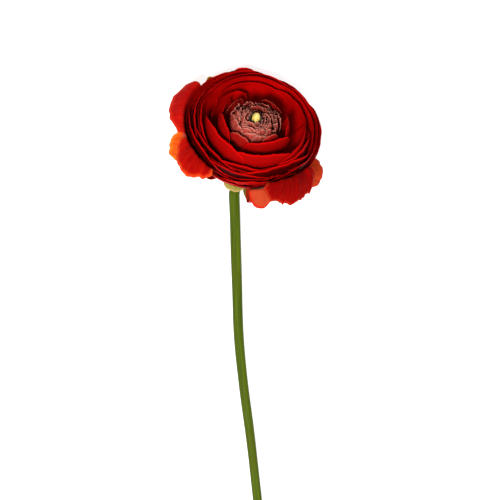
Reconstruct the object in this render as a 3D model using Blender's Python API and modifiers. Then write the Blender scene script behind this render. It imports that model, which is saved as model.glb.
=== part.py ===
"""Persian buttercup (Ranunculus asiaticus): one double bloom on its cut stem, lying on a flat surface.

Metres, +Z up, the surface is z = 0 and the origin is under the middle of the flower.
The stem lies along Y with its cut end at -Y. The bloom sits on the +Y end, rests on its back and
lower petals, and its open face looks up. Everything is one plant, so nothing moves against anything else.

Lengths in the constants are millimetres and angles are degrees; MM turns them into metres. The bloom is
laid out round its own axis, which runs up from the foot of the receptacle: azimuth 0 is the bloom's right,
90 the side that rests on the surface, 180 its left and 270 the side above the stem.
"""

import math
import random

import bmesh
import bpy
from mathutils import Vector

MM = 0.001
GAP = 0.3

# How the bloom stands
BLOOM_TILT = 37.0
BLOOM_TURN = 17.0
FOOT_HEIGHT = 9.05

# The bowl of petals: nested shells round a hub on the axis
HUB_HEIGHT = 26.0
BOWL_RADIUS = 32.9
BOWL_DEPTH = 26.0
HEART_DEPTH = 9.5
HEART_DOME = 9.0
BOWL_DOME = 16.0
GOLDEN_ANGLE = 137.5
PETAL_THICKNESS = 0.25

OUTER_PETALS = 20
OUTER_STEP = 0.3
HEART_PETALS = 10
HEART_RADIUS = 12.6
HEART_STEP = 0.84

# Petals inside the bowl and round the heart: azimuth, half width, shell radius, rim, drop
MIDDLE = (
    (229.0, 41.0, 25.2, 103.5, 9.0),
    (290.0, 41.0, 24.1, 104.5, 9.0),
    (345.0, 41.0, 25.8, 99.0, 9.0),
    (45.0, 41.0, 24.8, 93.0, 8.0),
    (108.0, 41.0, 25.6, 93.0, 8.0),
    (146.0, 38.0, 21.6, 95.0, 8.0),
    (212.0, 32.0, 18.5, 111.0, 13.0),
    (306.0, 42.0, 17.4, 113.0, 9.0),
    (10.0, 28.0, 16.6, 112.0, 9.0),
    (166.0, 25.0, 17.2, 106.0, 12.0),
)
HEART_OUTER = (
    (252.0, 30.0, 15.4, 113.0, 10.0),
    (65.0, 32.0, 14.8, 111.0, 8.0),
    (150.0, 30.0, 14.6, 111.0, 12.0),
    (318.0, 27.0, 13.9, 117.0, 9.0),
)

# Receptacle and the head of carpels on it
RECEPTACLE_RADIUS = 3.0
RECEPTACLE_TOP = 16.0
CARPEL_RADIUS = 1.85
CARPEL_TOP = 35.6

# Guard petals: azimuth, half width, tilt, cup, pinch, sway and points (r, z) from the seat to the tip
GUARD_THICKNESS = 0.35
GUARDS = (
    (181.0, 28.0, 0.0, -1.4, 0.1, 0.0, (
        (3.7, -1.1), (19.0, 0.8), (29.0, 8.5), (33.2, 18.0), (33.9, 24.8), (36.0, 27.8), (41.5, 24.4),
    )),
    (181.0, 17.0, -1.0, 0.6, 0.22, 0.0, (
        (3.7, -1.9), (12.0, -1.6), (20.4, -2.1), (28.6, -3.3), (37.6, -5.2),
    )),
    (226.0, 14.5, 0.0, -1.0, -0.35, 4.0, (
        (3.7, -1.1), (18.0, 0.4), (28.6, 8.0), (32.8, 17.5), (33.8, 24.0), (36.4, 25.0), (42.4, 17.8),
    )),
    (295.0, 8.0, 0.0, -0.9, -0.75, 0.0, (
        (3.7, -0.9), (16.0, -1.4), (27.0, 2.0), (32.2, 9.0), (33.9, 16.0), (34.6, 20.6), (36.2, 19.6),
        (38.6, 12.2),
    )),
    (320.0, 15.5, 0.0, -0.6, -0.45, -7.0, (
        (3.7, -1.5), (19.0, 0.8), (29.0, 9.0), (33.0, 19.0), (34.0, 26.2), (37.0, 27.0), (43.6, 18.0),
    )),
    (364.0, 17.0, 0.2, 1.0, 0.22, 0.0, (
        (3.7, -2.1), (13.0, -2.3), (22.0, -2.6), (31.0, -3.0), (39.6, -3.0),
    )),
)
BACK_GUARDS = (
    (141.0, 9.0, 87.0),
    (112.0, 19.0, 91.0),
)

# Sepals: azimuth, half width, bend point (r, z), tip (r, z)
SEPAL_THICKNESS = 0.6
SEPALS = (
    (261.0, 21.0, (9.0, -3.0), (15.5, -6.4)),
    (295.0, 12.0, (11.0, -5.0), (19.0, -8.0)),
    (320.0, 11.0, (14.0, -5.6), (26.0, -4.6)),
    (70.0, 16.0, (10.0, -3.0), (14.0, 0.4)),
    (160.0, 16.0, (9.0, -3.6), (14.5, -5.0)),
)

# Stem: its centreline from the neck to the cut end, as offsets from the foot of the receptacle
STEM_TOP_RADIUS = 2.6
STEM_END_RADIUS = 2.15
STEM_LINE = (
    (-5.0, -19.0, 5.0),
    (-4.6, -30.0, 4.2),
    (-4.3, -42.0, 3.5),
    (-3.7, -60.6, 2.8),
    (-2.8, -86.6, None),
    (-0.5, -110.6, None),
    (3.0, -137.3, None),
    (6.0, -163.9, None),
    (9.4, -194.0, None),
)
CUT_SLANT = 1.1


def clear_scene():
    for old in list(bpy.data.objects):
        bpy.data.objects.remove(old, do_unlink=True)


def colour(name, rgb, roughness):
    """A plain material in one colour."""
    material = bpy.data.materials.new(name)
    material.use_nodes = True
    shader = material.node_tree.nodes["Principled BSDF"]
    shader.inputs["Base Color"].default_value = (*rgb, 1.0)
    shader.inputs["Roughness"].default_value = roughness
    shader.inputs["Metallic"].default_value = 0.0
    return material


def from_bloom(x, y, z):
    """A point given in the bloom's own frame, as offsets in world directions, in millimetres."""
    tilt = math.radians(BLOOM_TILT)
    turn = math.radians(BLOOM_TURN)
    across = Vector((math.cos(turn), -math.sin(turn), 0.0))
    back = Vector(
        (
            math.cos(tilt) * math.sin(turn),
            math.cos(tilt) * math.cos(turn),
            -math.sin(tilt),
        )
    )
    axis = Vector(
        (
            math.sin(tilt) * math.sin(turn),
            math.sin(tilt) * math.cos(turn),
            math.cos(tilt),
        )
    )
    foot = Vector((0.0, 0.0, FOOT_HEIGHT))
    return foot + across * x + back * y + axis * z


def round_axis(radius, azimuth, height):
    """A point at a radius, azimuth (degrees) and height in the bloom's frame."""
    angle = math.radians(azimuth)
    return from_bloom(radius * math.cos(angle), radius * math.sin(angle), height)


def shell_depth(width):
    return HEART_DEPTH + (BOWL_DEPTH - HEART_DEPTH) * (width / 33.0) ** 1.3


def shell_dome(width):
    if width <= 27.0:
        return HEART_DOME
    return HEART_DOME + (BOWL_DOME - HEART_DOME) * ((width - 27.0) / 6.0) ** 1.5


def on_shell(width, polar, azimuth):
    """A point on the shell of a given widest radius; polar runs from 0 under the hub to 180 over it."""
    angle = math.radians(polar)
    upright = shell_depth(width) if polar < 90.0 else shell_dome(width)
    reach = 1.0 / math.hypot(math.sin(angle) / width, math.cos(angle) / upright)
    return round_axis(
        reach * math.sin(angle), azimuth, HUB_HEIGHT - reach * math.cos(angle)
    )


def link(name, mesh, material, group):
    mesh.materials.append(material)
    thing = bpy.data.objects.new(name, mesh)
    group.objects.link(thing)
    return thing


def sheet(name, columns, rows, place, thickness, material, group):
    """A leaf-like solid: a grid carried onto place(across, along), then thickened both ways."""
    grid = bmesh.new()
    bmesh.ops.create_grid(grid, x_segments=columns, y_segments=rows, size=1.0)
    for corner in grid.verts:
        corner.co = place(corner.co.x, (corner.co.y + 1.0) / 2.0) * MM
    mesh = bpy.data.meshes.new(name)
    grid.to_mesh(mesh)
    grid.free()
    leaf = link(name, mesh, material, group)
    thick = leaf.modifiers.new("thickness", "SOLIDIFY")
    thick.thickness = thickness * MM
    thick.offset = 0.0
    return leaf


def shell_petal(name, width, azimuth, half_width, rim, drop, size, material, group):
    """A petal that lies on one shell, from the receptacle up to its rounded rim."""
    seat = math.degrees(math.asin((RECEPTACLE_RADIUS + 0.5) / shell_depth(width)))

    def place(across, along):
        top = rim - drop * abs(across) ** 2.4
        polar = seat + (top - seat) * along
        spread = half_width * (0.5 + 0.5 * min(1.0, (polar - seat) / 35.0))
        return on_shell(width, polar, azimuth + spread * across)

    columns, rows = size
    return sheet(name, columns, rows, place, PETAL_THICKNESS, material, group)


def outer_petals(material, group):
    chance = random.Random(4)
    for i in range(OUTER_PETALS):
        azimuth = 20.0 + GOLDEN_ANGLE * i
        width = BOWL_RADIUS - OUTER_STEP * i
        rim = 93.0 + 0.45 * i + chance.uniform(-1.5, 1.5)
        name = f"outer_petal_{i + 1:02d}"
        shell_petal(name, width, azimuth, 41.0, rim, 16.0, (10, 8), material, group)


def middle_petals(material, group):
    for i, (azimuth, half, width, rim, drop) in enumerate(MIDDLE):
        name = f"middle_petal_{i + 1:02d}"
        shell_petal(name, width, azimuth, half, rim, drop, (8, 8), material, group)


def heart_petals(material, group):
    for i, (azimuth, half, width, rim, drop) in enumerate(HEART_OUTER):
        name = f"heart_petal_{i + 1:02d}"
        shell_petal(name, width, azimuth, half, rim, drop, (6, 6), material, group)
    for i in range(HEART_PETALS):
        azimuth = 30.0 + 5.0 * GOLDEN_ANGLE * i
        width = HEART_RADIUS - HEART_STEP * i
        opening = 2.6 + 0.9 * (width - 4.0)
        height = HEART_DOME * math.sqrt(1.0 - (opening / width) ** 2)
        rim = 90.0 + math.degrees(math.atan2(height, opening))
        name = f"heart_petal_{len(HEART_OUTER) + i + 1:02d}"
        shell_petal(name, width, azimuth, 40.0, rim, 12.0, (6, 6), material, group)


def spread_leaf(name, azimuth, half_width, path, tilt, cup, size, thickness, look):
    """A petal or sepal that bends away from the bowl along a curve of three points (r, z)."""
    (r0, z0), (r1, z1), (r2, z2) = path
    material, group = look

    def place(across, along):
        t = along * (1.0 - 0.16 * abs(across) ** 2.2)
        radius = (1 - t) ** 2 * r0 + 2 * t * (1 - t) * r1 + t * t * r2
        height = (1 - t) ** 2 * z0 + 2 * t * (1 - t) * z1 + t * t * z2
        height += (tilt * across + cup * across * across) * t * t
        spread = half_width * (0.6 + 0.4 * min(1.0, along / 0.4))
        return round_axis(radius, azimuth + spread * across, height)

    columns, rows = size
    return sheet(name, columns, rows, place, thickness, material, group)


def smooth_path(knots):
    """Points (distance, r, z) along a smooth curve that passes through the knots."""
    knots = [Vector(knot) for knot in knots]
    ends = [2 * knots[0] - knots[1], *knots, 2 * knots[-1] - knots[-2]]
    points = []
    for a, b, c, d in zip(ends, ends[1:], ends[2:], ends[3:]):
        for k in range(8):
            t = k / 8
            cubic = 3 * b - 3 * c + d - a
            square = 2 * a - 5 * b + 4 * c - d
            points.append(b + ((c - a) * t + square * t * t + cubic * t**3) / 2)
    points.append(knots[-1])
    distance = 0.0
    path = [(0.0, *points[0])]
    for a, b in zip(points, points[1:]):
        distance += (b - a).length
        path.append((distance, *b))
    return path


def on_path(path, share):
    """The point (r, z) at a share of the path's length."""
    wanted = share * path[-1][0]
    for (d0, r0, z0), (d1, r1, z1) in zip(path, path[1:]):
        if wanted <= d1:
            part = (wanted - d0) / (d1 - d0)
            return r0 + (r1 - r0) * part, z0 + (z1 - z0) * part
    return path[-1][1:]


def guard_petal(name, form, material, group):
    """A loose petal that follows its path up the bowl's side and over, narrowed or widened at its end."""
    azimuth, half, tilt, cup, pinch, sway, knots = form
    path = smooth_path(knots)

    def place(across, along):
        t = along * (1.0 - 0.14 * abs(across) ** 2.2)
        radius, height = on_path(path, t)
        height += (tilt * across + cup * across * across) * t * t
        outwards = max(0.0, (along - 0.55) / 0.45) ** 2
        spread = half * (0.6 + 0.4 * min(1.0, along / 0.4)) * (1.0 - pinch * outwards)
        return round_axis(radius, azimuth + sway * outwards + spread * across, height)

    return sheet(name, 6, 9, place, GUARD_THICKNESS, material, group)


def guard_petals(material, group):
    for i, form in enumerate(GUARDS):
        guard_petal(f"guard_petal_{i + 1}", form, material, group)
    for i, (azimuth, half, rim) in enumerate(BACK_GUARDS):
        name = f"guard_petal_{len(GUARDS) + i + 1}"
        width = BOWL_RADIUS + 1.0
        shell_petal(name, width, azimuth, half, rim, 18.0, (6, 6), material, group)


def sepals(material, group):
    look = (material, group)
    for i, (azimuth, half, bend, tip) in enumerate(SEPALS):
        path = ((RECEPTACLE_RADIUS + 0.6, -2.6), bend, tip)
        spread_leaf(
            f"sepal_{i + 1}", azimuth, half, path, 0.0, 0.8, (4, 4),
            SEPAL_THICKNESS, look,
        )


def turned(name, profile, steps, material, group):
    """A solid of revolution about the bloom's axis, from a profile of (r, z) points, top to bottom."""
    rings = bmesh.new()
    corners = [rings.verts.new((r * MM, 0.0, z * MM)) for r, z in profile]
    for a, b in zip(corners, corners[1:]):
        rings.edges.new((a, b))
    bmesh.ops.spin(
        rings,
        geom=rings.verts[:] + rings.edges[:],
        cent=(0.0, 0.0, 0.0),
        axis=(0.0, 0.0, 1.0),
        angle=math.tau,
        steps=steps,
    )
    bmesh.ops.remove_doubles(rings, verts=rings.verts, dist=0.01 * MM)
    bmesh.ops.recalc_face_normals(rings, faces=rings.faces)
    for corner in rings.verts:
        x, y, z = corner.co / MM
        corner.co = from_bloom(x, y, z) * MM
    mesh = bpy.data.meshes.new(name)
    rings.to_mesh(mesh)
    rings.free()
    return link(name, mesh, material, group)


def receptacle(material, group):
    r = RECEPTACLE_RADIUS
    profile = [
        (0.0, RECEPTACLE_TOP),
        (1.3, RECEPTACLE_TOP),
        (1.9, RECEPTACLE_TOP - 1.6),
        (2.4, 8.0),
        (2.8, 2.0),
        (r, 0.0),
        (r + 0.1, -1.6),
        (r - 0.1, -3.0),
        (0.0, -3.0),
    ]
    return turned("receptacle", profile, 12, material, group)


def carpel_head(material, group):
    r = CARPEL_RADIUS
    low = RECEPTACLE_TOP + GAP
    profile = [
        (0.0, CARPEL_TOP),
        (0.75 * r, CARPEL_TOP - 0.7),
        (r, CARPEL_TOP - 2.4),
        (0.9 * r, CARPEL_TOP - 5.5),
        (0.8 * r, low + 5.0),
        (0.7 * r, low),
        (0.0, low),
    ]
    return turned("carpel_head", profile, 12, material, group)


def stem_points():
    """The centreline: a bend that leaves the receptacle along its axis, then the line on the surface."""
    start = from_bloom(0.0, 0.0, -3.0 - GAP)
    way = from_bloom(0.0, 0.0, -4.0) - from_bloom(0.0, 0.0, -3.0)
    first = Vector(STEM_LINE[0])
    second = Vector(STEM_LINE[1])
    level = (first - second).normalized()
    one = start + way * 6.0
    two = first + level * 5.5
    points = []
    for k in range(6):
        t = (0.0, 0.05, 0.2, 0.4, 0.6, 0.8)[k]
        points.append(
            start * (1 - t) ** 3
            + one * 3 * t * (1 - t) ** 2
            + two * 3 * t * t * (1 - t)
            + first * t**3
        )
    total = len(STEM_LINE)
    for k, (x, y, z) in enumerate(STEM_LINE):
        radius = STEM_TOP_RADIUS + (STEM_END_RADIUS - STEM_TOP_RADIUS) * k / (total - 1)
        points.append(Vector((x, y, radius + 0.05 if z is None else z)))
    return points


def stem(material, group):
    """A tapered tube along the centreline, with its far end cut at a slant."""
    points = stem_points()
    line = bpy.data.curves.new("stem", "CURVE")
    line.dimensions = "3D"
    line.bevel_depth = MM
    line.bevel_resolution = 1
    line.use_fill_caps = True
    spline = line.splines.new("POLY")
    spline.points.add(len(points) - 1)
    first = len(points) - len(STEM_LINE)
    for k, point in enumerate(points):
        share = max(0, k - first) / (len(STEM_LINE) - 1)
        radius = STEM_TOP_RADIUS + (STEM_END_RADIUS - STEM_TOP_RADIUS) * share
        spline.points[k].co = (*(point * MM), 1.0)
        spline.points[k].radius = radius
    tube = bpy.data.objects.new("stem_line", line)
    mesh = bpy.data.meshes.new_from_object(tube)
    mesh.name = "stem"
    bpy.data.objects.remove(tube)
    bpy.data.curves.remove(line)
    end = points[-1] * MM
    along = (points[-1] - points[-2]).normalized()
    for corner in mesh.vertices:
        if (corner.co - end).length < 1.3 * STEM_END_RADIUS * MM:
            corner.co += along * CUT_SLANT * (corner.co.z - end.z)
    trim = bmesh.new()
    trim.from_mesh(mesh)
    bmesh.ops.remove_doubles(trim, verts=trim.verts, dist=0.01 * MM)
    bmesh.ops.recalc_face_normals(trim, faces=trim.faces)
    trim.to_mesh(mesh)
    trim.free()
    mesh.materials.clear()
    return link("stem", mesh, material, group)


def settle_on_surface(group):
    """Slides the whole plant so that its lowest point is at z = 0 and its middle over the origin."""
    bpy.context.view_layer.update()
    view = bpy.context.evaluated_depsgraph_get()
    corners = []
    for thing in group.objects:
        solid = thing.evaluated_get(view)
        shape = solid.to_mesh()
        corners += [corner.co.copy() for corner in shape.vertices]
        solid.to_mesh_clear()
    low = Vector([min(c[k] for c in corners) for k in range(3)])
    high = Vector([max(c[k] for c in corners) for k in range(3)])
    slide = Vector((-(low.x + high.x) / 2, -(low.y + high.y) / 2, -low.z))
    for thing in group.objects:
        for corner in thing.data.vertices:
            corner.co += slide


def main():
    clear_scene()
    group = bpy.data.collections.new("persian_buttercup_flower")
    bpy.context.scene.collection.children.link(group)
    petal = colour("petal_red", (0.31, 0.004, 0.004), 0.6)
    guard = colour("guard_petal_red", (0.47, 0.02, 0.01), 0.55)
    heart = colour("heart_petal_pink", (0.38, 0.07, 0.05), 0.6)
    sepal = colour("sepal_green", (0.30, 0.24, 0.05), 0.6)
    green = colour("stem_green", (0.09, 0.15, 0.01), 0.5)
    pale = colour("carpel_yellow", (0.78, 0.60, 0.16), 0.6)
    stem(green, group)
    receptacle(green, group)
    carpel_head(pale, group)
    sepals(sepal, group)
    guard_petals(guard, group)
    outer_petals(petal, group)
    middle_petals(petal, group)
    heart_petals(heart, group)
    settle_on_surface(group)


main()
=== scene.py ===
"""Persian buttercup: one cut, fully double bloom lying on a pale table, its open face turned up."""

import math

import bpy
import numpy as np
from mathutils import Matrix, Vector


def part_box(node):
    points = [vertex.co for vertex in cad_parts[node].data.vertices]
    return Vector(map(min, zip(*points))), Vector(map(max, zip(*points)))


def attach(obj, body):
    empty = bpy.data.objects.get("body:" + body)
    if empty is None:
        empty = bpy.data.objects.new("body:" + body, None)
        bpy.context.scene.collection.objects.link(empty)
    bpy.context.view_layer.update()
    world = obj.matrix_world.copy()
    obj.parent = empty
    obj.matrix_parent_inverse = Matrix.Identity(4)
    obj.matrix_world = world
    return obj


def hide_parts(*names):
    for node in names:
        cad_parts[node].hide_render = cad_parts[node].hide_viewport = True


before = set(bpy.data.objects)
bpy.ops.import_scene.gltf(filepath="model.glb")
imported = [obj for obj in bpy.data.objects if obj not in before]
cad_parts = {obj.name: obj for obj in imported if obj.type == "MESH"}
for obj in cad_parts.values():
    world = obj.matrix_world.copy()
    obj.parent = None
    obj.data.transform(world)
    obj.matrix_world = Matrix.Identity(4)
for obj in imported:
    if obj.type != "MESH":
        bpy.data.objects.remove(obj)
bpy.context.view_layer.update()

# ------------------------------------------------------------------------------------------- the stem
# A hollow, juicy green stem about 5 mm thick with fine ribs along it. It bends down out of the
# bloom's foot, lies along the table and ends in a plain slanting cut. The bloom's axis leans back.

MM = 0.001
BLOOM_TILT = math.radians(37.0)
BLOOM_TURN = math.radians(17.0)
BLOOM_AXIS = np.array([
    math.sin(BLOOM_TILT) * math.sin(BLOOM_TURN),
    math.sin(BLOOM_TILT) * math.cos(BLOOM_TURN),
    math.cos(BLOOM_TILT),
])
RECEPTACLE_BOX = [np.array(corner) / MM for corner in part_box("receptacle")]
FOOT_FROM_BOX_MIDDLE = np.array([-0.525, -3.095, -4.710])
FOOT = (RECEPTACLE_BOX[0] + RECEPTACLE_BOX[1]) / 2 + FOOT_FROM_BOX_MIDDLE

STEM_OFFSETS = np.array([
    (-5.0, -19.0, 5.0), (-4.6, -30.0, 4.2), (-4.3, -42.0, 3.5), (-3.7, -60.6, 2.8),
    (-2.8, -86.6, 2.48), (-0.5, -110.6, 2.42), (3.0, -137.3, 2.37), (6.0, -163.9, 2.31),
    (9.4, -194.0, 2.25),
])
STEM_RADII = (2.62, 2.15)
STEM_AROUND = 48
STEM_RINGS = 360
STEM_TOP_BELOW_FOOT = 2.6
BEND_HANDLES = (6.0, 5.5)
CUT_LENGTH = 9.0
CUT_SLOPE = 1.1
# share of the stem's radius, and depth inside the cut
CUT_TURNS_IN = (
    (0.06, 0.02), (0.30, 0.05), (0.52, 0.02), (0.58, 0.5), (0.60, 6.0), (0.45, 7.2), (0.02, 7.6),
)
# share of the pale cut colour on each of those rings; it falls away down inside the hollow, as painted
# shade
CUT_FLESH = (1.0, 1.0, 0.9, 0.6, 0.3, 0.2, 0.2)
STEM_PATTERN_LENGTH = 60


def ease(x):
    """0 below 0, 1 above 1, and a smooth step between."""
    x = np.clip(x, 0.0, 1.0)
    return x * x * (3.0 - 2.0 * x)


def smooth_path(knots, count):
    """A Catmull-Rom curve through the knots: each span blends its two ends and their neighbours."""
    knots = np.asarray(knots, float)
    padded = np.vstack([2 * knots[0] - knots[1], knots, 2 * knots[-1] - knots[-2]])
    where = np.linspace(0, len(knots) - 1 - 1e-9, count)
    span = where.astype(int)
    t = (where - span)[:, None]
    a, b, c, d = (padded[span + k] for k in range(4))
    cubic = (3 * b - a - 3 * c + d) * t**3
    return 0.5 * (2 * b + (c - a) * t + (2 * a - 5 * b + 4 * c - d) * t**2 + cubic)


def add_mesh(name, points, faces):
    """A smooth mesh object at the origin from points in millimetres and a list of faces."""
    mesh = bpy.data.meshes.new(name)
    mesh.from_pydata((np.asarray(points) * MM).tolist(), [], [list(f) for f in faces])
    mesh.polygons.foreach_set("use_smooth", [True] * len(mesh.polygons))
    mesh.update()
    piece = bpy.data.objects.new(name, mesh)
    bpy.context.scene.collection.objects.link(piece)
    return piece


def ring_faces(rings, around, first=0):
    """Quads between each ring of points and the next, closing round."""
    i, j = np.meshgrid(np.arange(rings - 1), np.arange(around), indexing="ij")
    k = (j + 1) % around
    corners = (i * around + j, i * around + k, (i + 1) * around + k, (i + 1) * around + j)
    return (first + np.stack(corners, axis=-1).reshape(-1, 4)).tolist()


def give_attribute(piece, name, values):
    """One number per point, for the materials to read."""
    layer = piece.data.attributes.new(name, "FLOAT", "POINT")
    layer.data.foreach_set("value", np.asarray(values, np.float32).ravel())


def give_uv(piece, uv):
    """A UV map from one pair of numbers per point."""
    mesh = piece.data
    corner_point = np.empty(len(mesh.loops), np.int32)
    mesh.loops.foreach_get("vertex_index", corner_point)
    layer = mesh.uv_layers.new(name="leaf")
    layer.data.foreach_set("uv", np.asarray(uv, np.float32)[corner_point].ravel())


def node(tree, kind, **settings):
    """Adds a shader node; settings name its properties, or its inputs by name or as i0, i1."""
    made = tree.nodes.new(kind)
    for key, value in settings.items():
        if hasattr(made, key):
            setattr(made, key, value)
            continue
        place = {"i0": 0, "i1": 1}.get(key, key)
        if isinstance(value, bpy.types.NodeSocket):
            tree.links.new(value, made.inputs[place])
        else:
            made.inputs[place].default_value = value
    return made


def blend_colours(tree, share, low, high):
    """One colour turning into another; share, low and high are sockets or plain values."""
    mix = tree.nodes.new("ShaderNodeMix")
    mix.data_type = "RGBA"
    for place, value in ((0, share), (6, low), (7, high)):
        if isinstance(value, bpy.types.NodeSocket):
            tree.links.new(value, mix.inputs[place])
        else:
            mix.inputs[place].default_value = value if place == 0 else (*value, 1.0)
    return mix.outputs[2]


def number(tree, operation, first, second=0.0, clamp=False):
    """A Math node on two values; each is a socket or a plain number."""
    made = tree.nodes.new("ShaderNodeMath")
    made.operation = operation
    made.use_clamp = clamp
    for place, value in enumerate((first, second)):
        if isinstance(value, bpy.types.NodeSocket):
            tree.links.new(value, made.inputs[place])
        else:
            made.inputs[place].default_value = value
    return made.outputs[0]


def remap(tree, value, low, high, to_low=0.0, to_high=1.0):
    """A value carried from one range to another and held inside it."""
    made = tree.nodes.new("ShaderNodeMapRange")
    tree.links.new(value, made.inputs["Value"])
    limits = (("From Min", low), ("From Max", high), ("To Min", to_low), ("To Max", to_high))
    for key, limit in limits:
        made.inputs[key].default_value = limit
    return made.outputs["Result"]


def noise(tree, vector, scale, detail=3.0, roughness=0.5, stretch=None):
    """A noise factor over a vector, which may be stretched first."""
    if stretch:
        vector = node(tree, "ShaderNodeMapping", Vector=vector, Scale=stretch).outputs[0]
    made = node(
        tree, "ShaderNodeTexNoise", Vector=vector, Scale=scale, Detail=detail, Roughness=roughness
    )
    return made.outputs["Fac"]


def new_material(name):
    """An empty material; returns it, its node tree and its Principled shader."""
    material = bpy.data.materials.new(name)
    material.use_nodes = True
    tree = material.node_tree
    return material, tree, tree.nodes["Principled BSDF"]


def relief(tree, shader, height, distance, strength=1.0):
    """Feeds a height to the shader's Normal through a Bump node."""
    bump = node(tree, "ShaderNodeBump", Height=height, Strength=strength, Distance=distance)
    tree.links.new(bump.outputs[0], shader.inputs["Normal"])


def finish_piece(piece, material, slot, *nodes):
    """Gives a piece its material, its body and the solids that it stands for; the slot is not used."""
    piece.data.materials.append(material)
    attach(piece, "root")
    if nodes:
        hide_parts(*nodes)


def stem_material():
    """Olive green skin with ribs along it and faint blotches; the cut is pale, and down inside the
    hollow it turns back to dark green, which is painted shade.
    """
    material, tree, shader = new_material("stem_skin")
    uv = node(tree, "ShaderNodeUVMap", uv_map="leaf").outputs[0]
    place = node(tree, "ShaderNodeTexCoord").outputs["Object"]
    cut = node(tree, "ShaderNodeAttribute", attribute_name="cut").outputs["Fac"]
    ribs = noise(tree, uv, 1.0, 2.0, 0.5, (30.0, 2.0, 1.0))
    fine = noise(tree, uv, 1.0, 3.0, 0.6, (110.0, 14.0, 1.0))
    blotch = noise(tree, place, 55.0, 4.0, 0.55)
    colour = blend_colours(
        tree, remap(tree, ribs, 0.35, 0.66), (0.032, 0.056, 0.0004), (0.066, 0.100, 0.0010)
    )
    browner = remap(tree, blotch, 0.42, 0.72, 0.0, 0.5)
    colour = blend_colours(tree, browner, colour, (0.060, 0.066, 0.0006))
    colour = blend_colours(tree, remap(tree, fine, 0.55, 0.8, 0.0, 0.3), colour, (0.13, 0.17, 0.02))
    colour = blend_colours(tree, remap(tree, cut, 0.0, 1.0), colour, (0.42, 0.46, 0.16))
    tree.links.new(colour, shader.inputs["Base Color"])
    tree.links.new(remap(tree, fine, 0.3, 0.7, 0.42, 0.58), shader.inputs["Roughness"])
    shader.inputs["Specular IOR Level"].default_value = 0.06
    height = number(tree, "ADD", ribs, number(tree, "MULTIPLY", fine, 0.4))
    relief(tree, shader, height, 0.0003, 0.6)
    return material


def build_stem():
    """A tapering tube along a Bezier bend and a smooth curve on the table. Its radius is a taper times
    shallow ribs that wander along it; the cut's rim turns in over the wall and closes inside."""
    on_table = FOOT * [1.0, 1.0, 0.0] + STEM_OFFSETS
    start = FOOT - STEM_TOP_BELOW_FOOT * BLOOM_AXIS
    level = (on_table[0] - on_table[1]) / np.linalg.norm(on_table[0] - on_table[1])
    handles = (
        start, start - BEND_HANDLES[0] * BLOOM_AXIS, on_table[0] + BEND_HANDLES[1] * level,
        on_table[0],
    )
    t = np.linspace(0.0, 1.0, 12)[:-1, None]
    bend = sum(math.comb(3, k) * handles[k] * t**k * (1 - t) ** (3 - k) for k in range(4))
    points = smooth_path(np.vstack([bend, on_table]), STEM_RINGS)
    steps = np.linalg.norm(np.diff(points, axis=0), axis=1)
    run = np.concatenate([[0.0], np.cumsum(steps)])
    along = np.gradient(points, axis=0)
    along /= np.linalg.norm(along, axis=1)[:, None]
    side = np.cross(along, [0.0, 0.0, 1.0])
    side /= np.linalg.norm(side, axis=1)[:, None]
    up = np.cross(side, along)
    angle = np.linspace(0, 2 * math.pi, STEM_AROUND, endpoint=False)[None, :]
    far = run[:, None]
    taper = STEM_RADII[0] + (STEM_RADII[1] - STEM_RADII[0]) * ease(far / run[-1] * 1.05)
    ribs = 0.016 * np.cos(7 * angle + 1.3 * np.sin(far / 31))
    ribs = ribs + 0.008 * np.cos(13 * angle + 2.1 * np.cos(far / 47))
    neck = 0.10 * np.exp(-((far / 4.0) ** 2))
    lumps = 0.012 * np.sin(far / 6.3 + 2 * np.sin(angle))
    radius = taper * (1 + ribs + neck + lumps)
    ring = (
        points[:, None, :]
        + (radius * np.cos(angle))[..., None] * side[:, None, :]
        + (radius * np.sin(angle))[..., None] * up[:, None, :]
    )
    slant = ease((run - run[-1] + CUT_LENGTH) / CUT_LENGTH)[:, None] * CUT_SLOPE
    ring += (slant * (ring[..., 2] - points[:, None, 2]))[..., None] * along[-1]
    last, centre = ring[-1], points[-1]
    inside = [last + (centre - last) * share - along[-1] * deep for share, deep in CUT_TURNS_IN]
    rows = np.concatenate([ring, np.array(inside)])
    end = len(rows) * STEM_AROUND
    caps = [list(range(STEM_AROUND)), list(range(end - 1, end - 1 - STEM_AROUND, -1))]
    piece = add_mesh("stem", rows.reshape(-1, 3), ring_faces(len(rows), STEM_AROUND) + caps)
    long = np.concatenate([run, np.full(len(inside), run[-1])])[:, None] / STEM_PATTERN_LENGTH
    wide = np.minimum(angle / (2 * math.pi), 1 - angle / (2 * math.pi)) + 0 * long
    give_uv(piece, np.stack([wide, long + 0 * wide], axis=-1).reshape(-1, 2))
    cut = np.zeros(rows.shape[:2])
    cut[len(ring):] = np.array(CUT_FLESH)[:, None]
    give_attribute(piece, "cut", cut)
    return piece


STEM_SKIN = stem_material()
finish_piece(build_stem(), STEM_SKIN, "stem_green", "stem")

# ------------------------------------------------------------------------------------- the receptacle
# The fleshy green end of the stem, a blunt cone that every petal is seated on. It is one with the
# stem in the real flower and is hidden by the petals.

BLOOM_ACROSS = np.array([math.cos(BLOOM_TURN), -math.sin(BLOOM_TURN), 0.0])
BLOOM_BACK = np.array([
    math.cos(BLOOM_TILT) * math.sin(BLOOM_TURN),
    math.cos(BLOOM_TILT) * math.cos(BLOOM_TURN),
    -math.sin(BLOOM_TILT),
])


def in_bloom(radius, azimuth, height):
    """Points at a radius, azimuth and height round the bloom's axis, as world points. Azimuth 0 is the
    bloom's right, 90 the side it rests on, 180 its left and 270 the side over the stem."""
    return (
        FOOT
        + (radius * np.cos(azimuth))[..., None] * BLOOM_ACROSS
        + (radius * np.sin(azimuth))[..., None] * BLOOM_BACK
        + height[..., None] * BLOOM_AXIS
    )


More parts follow.
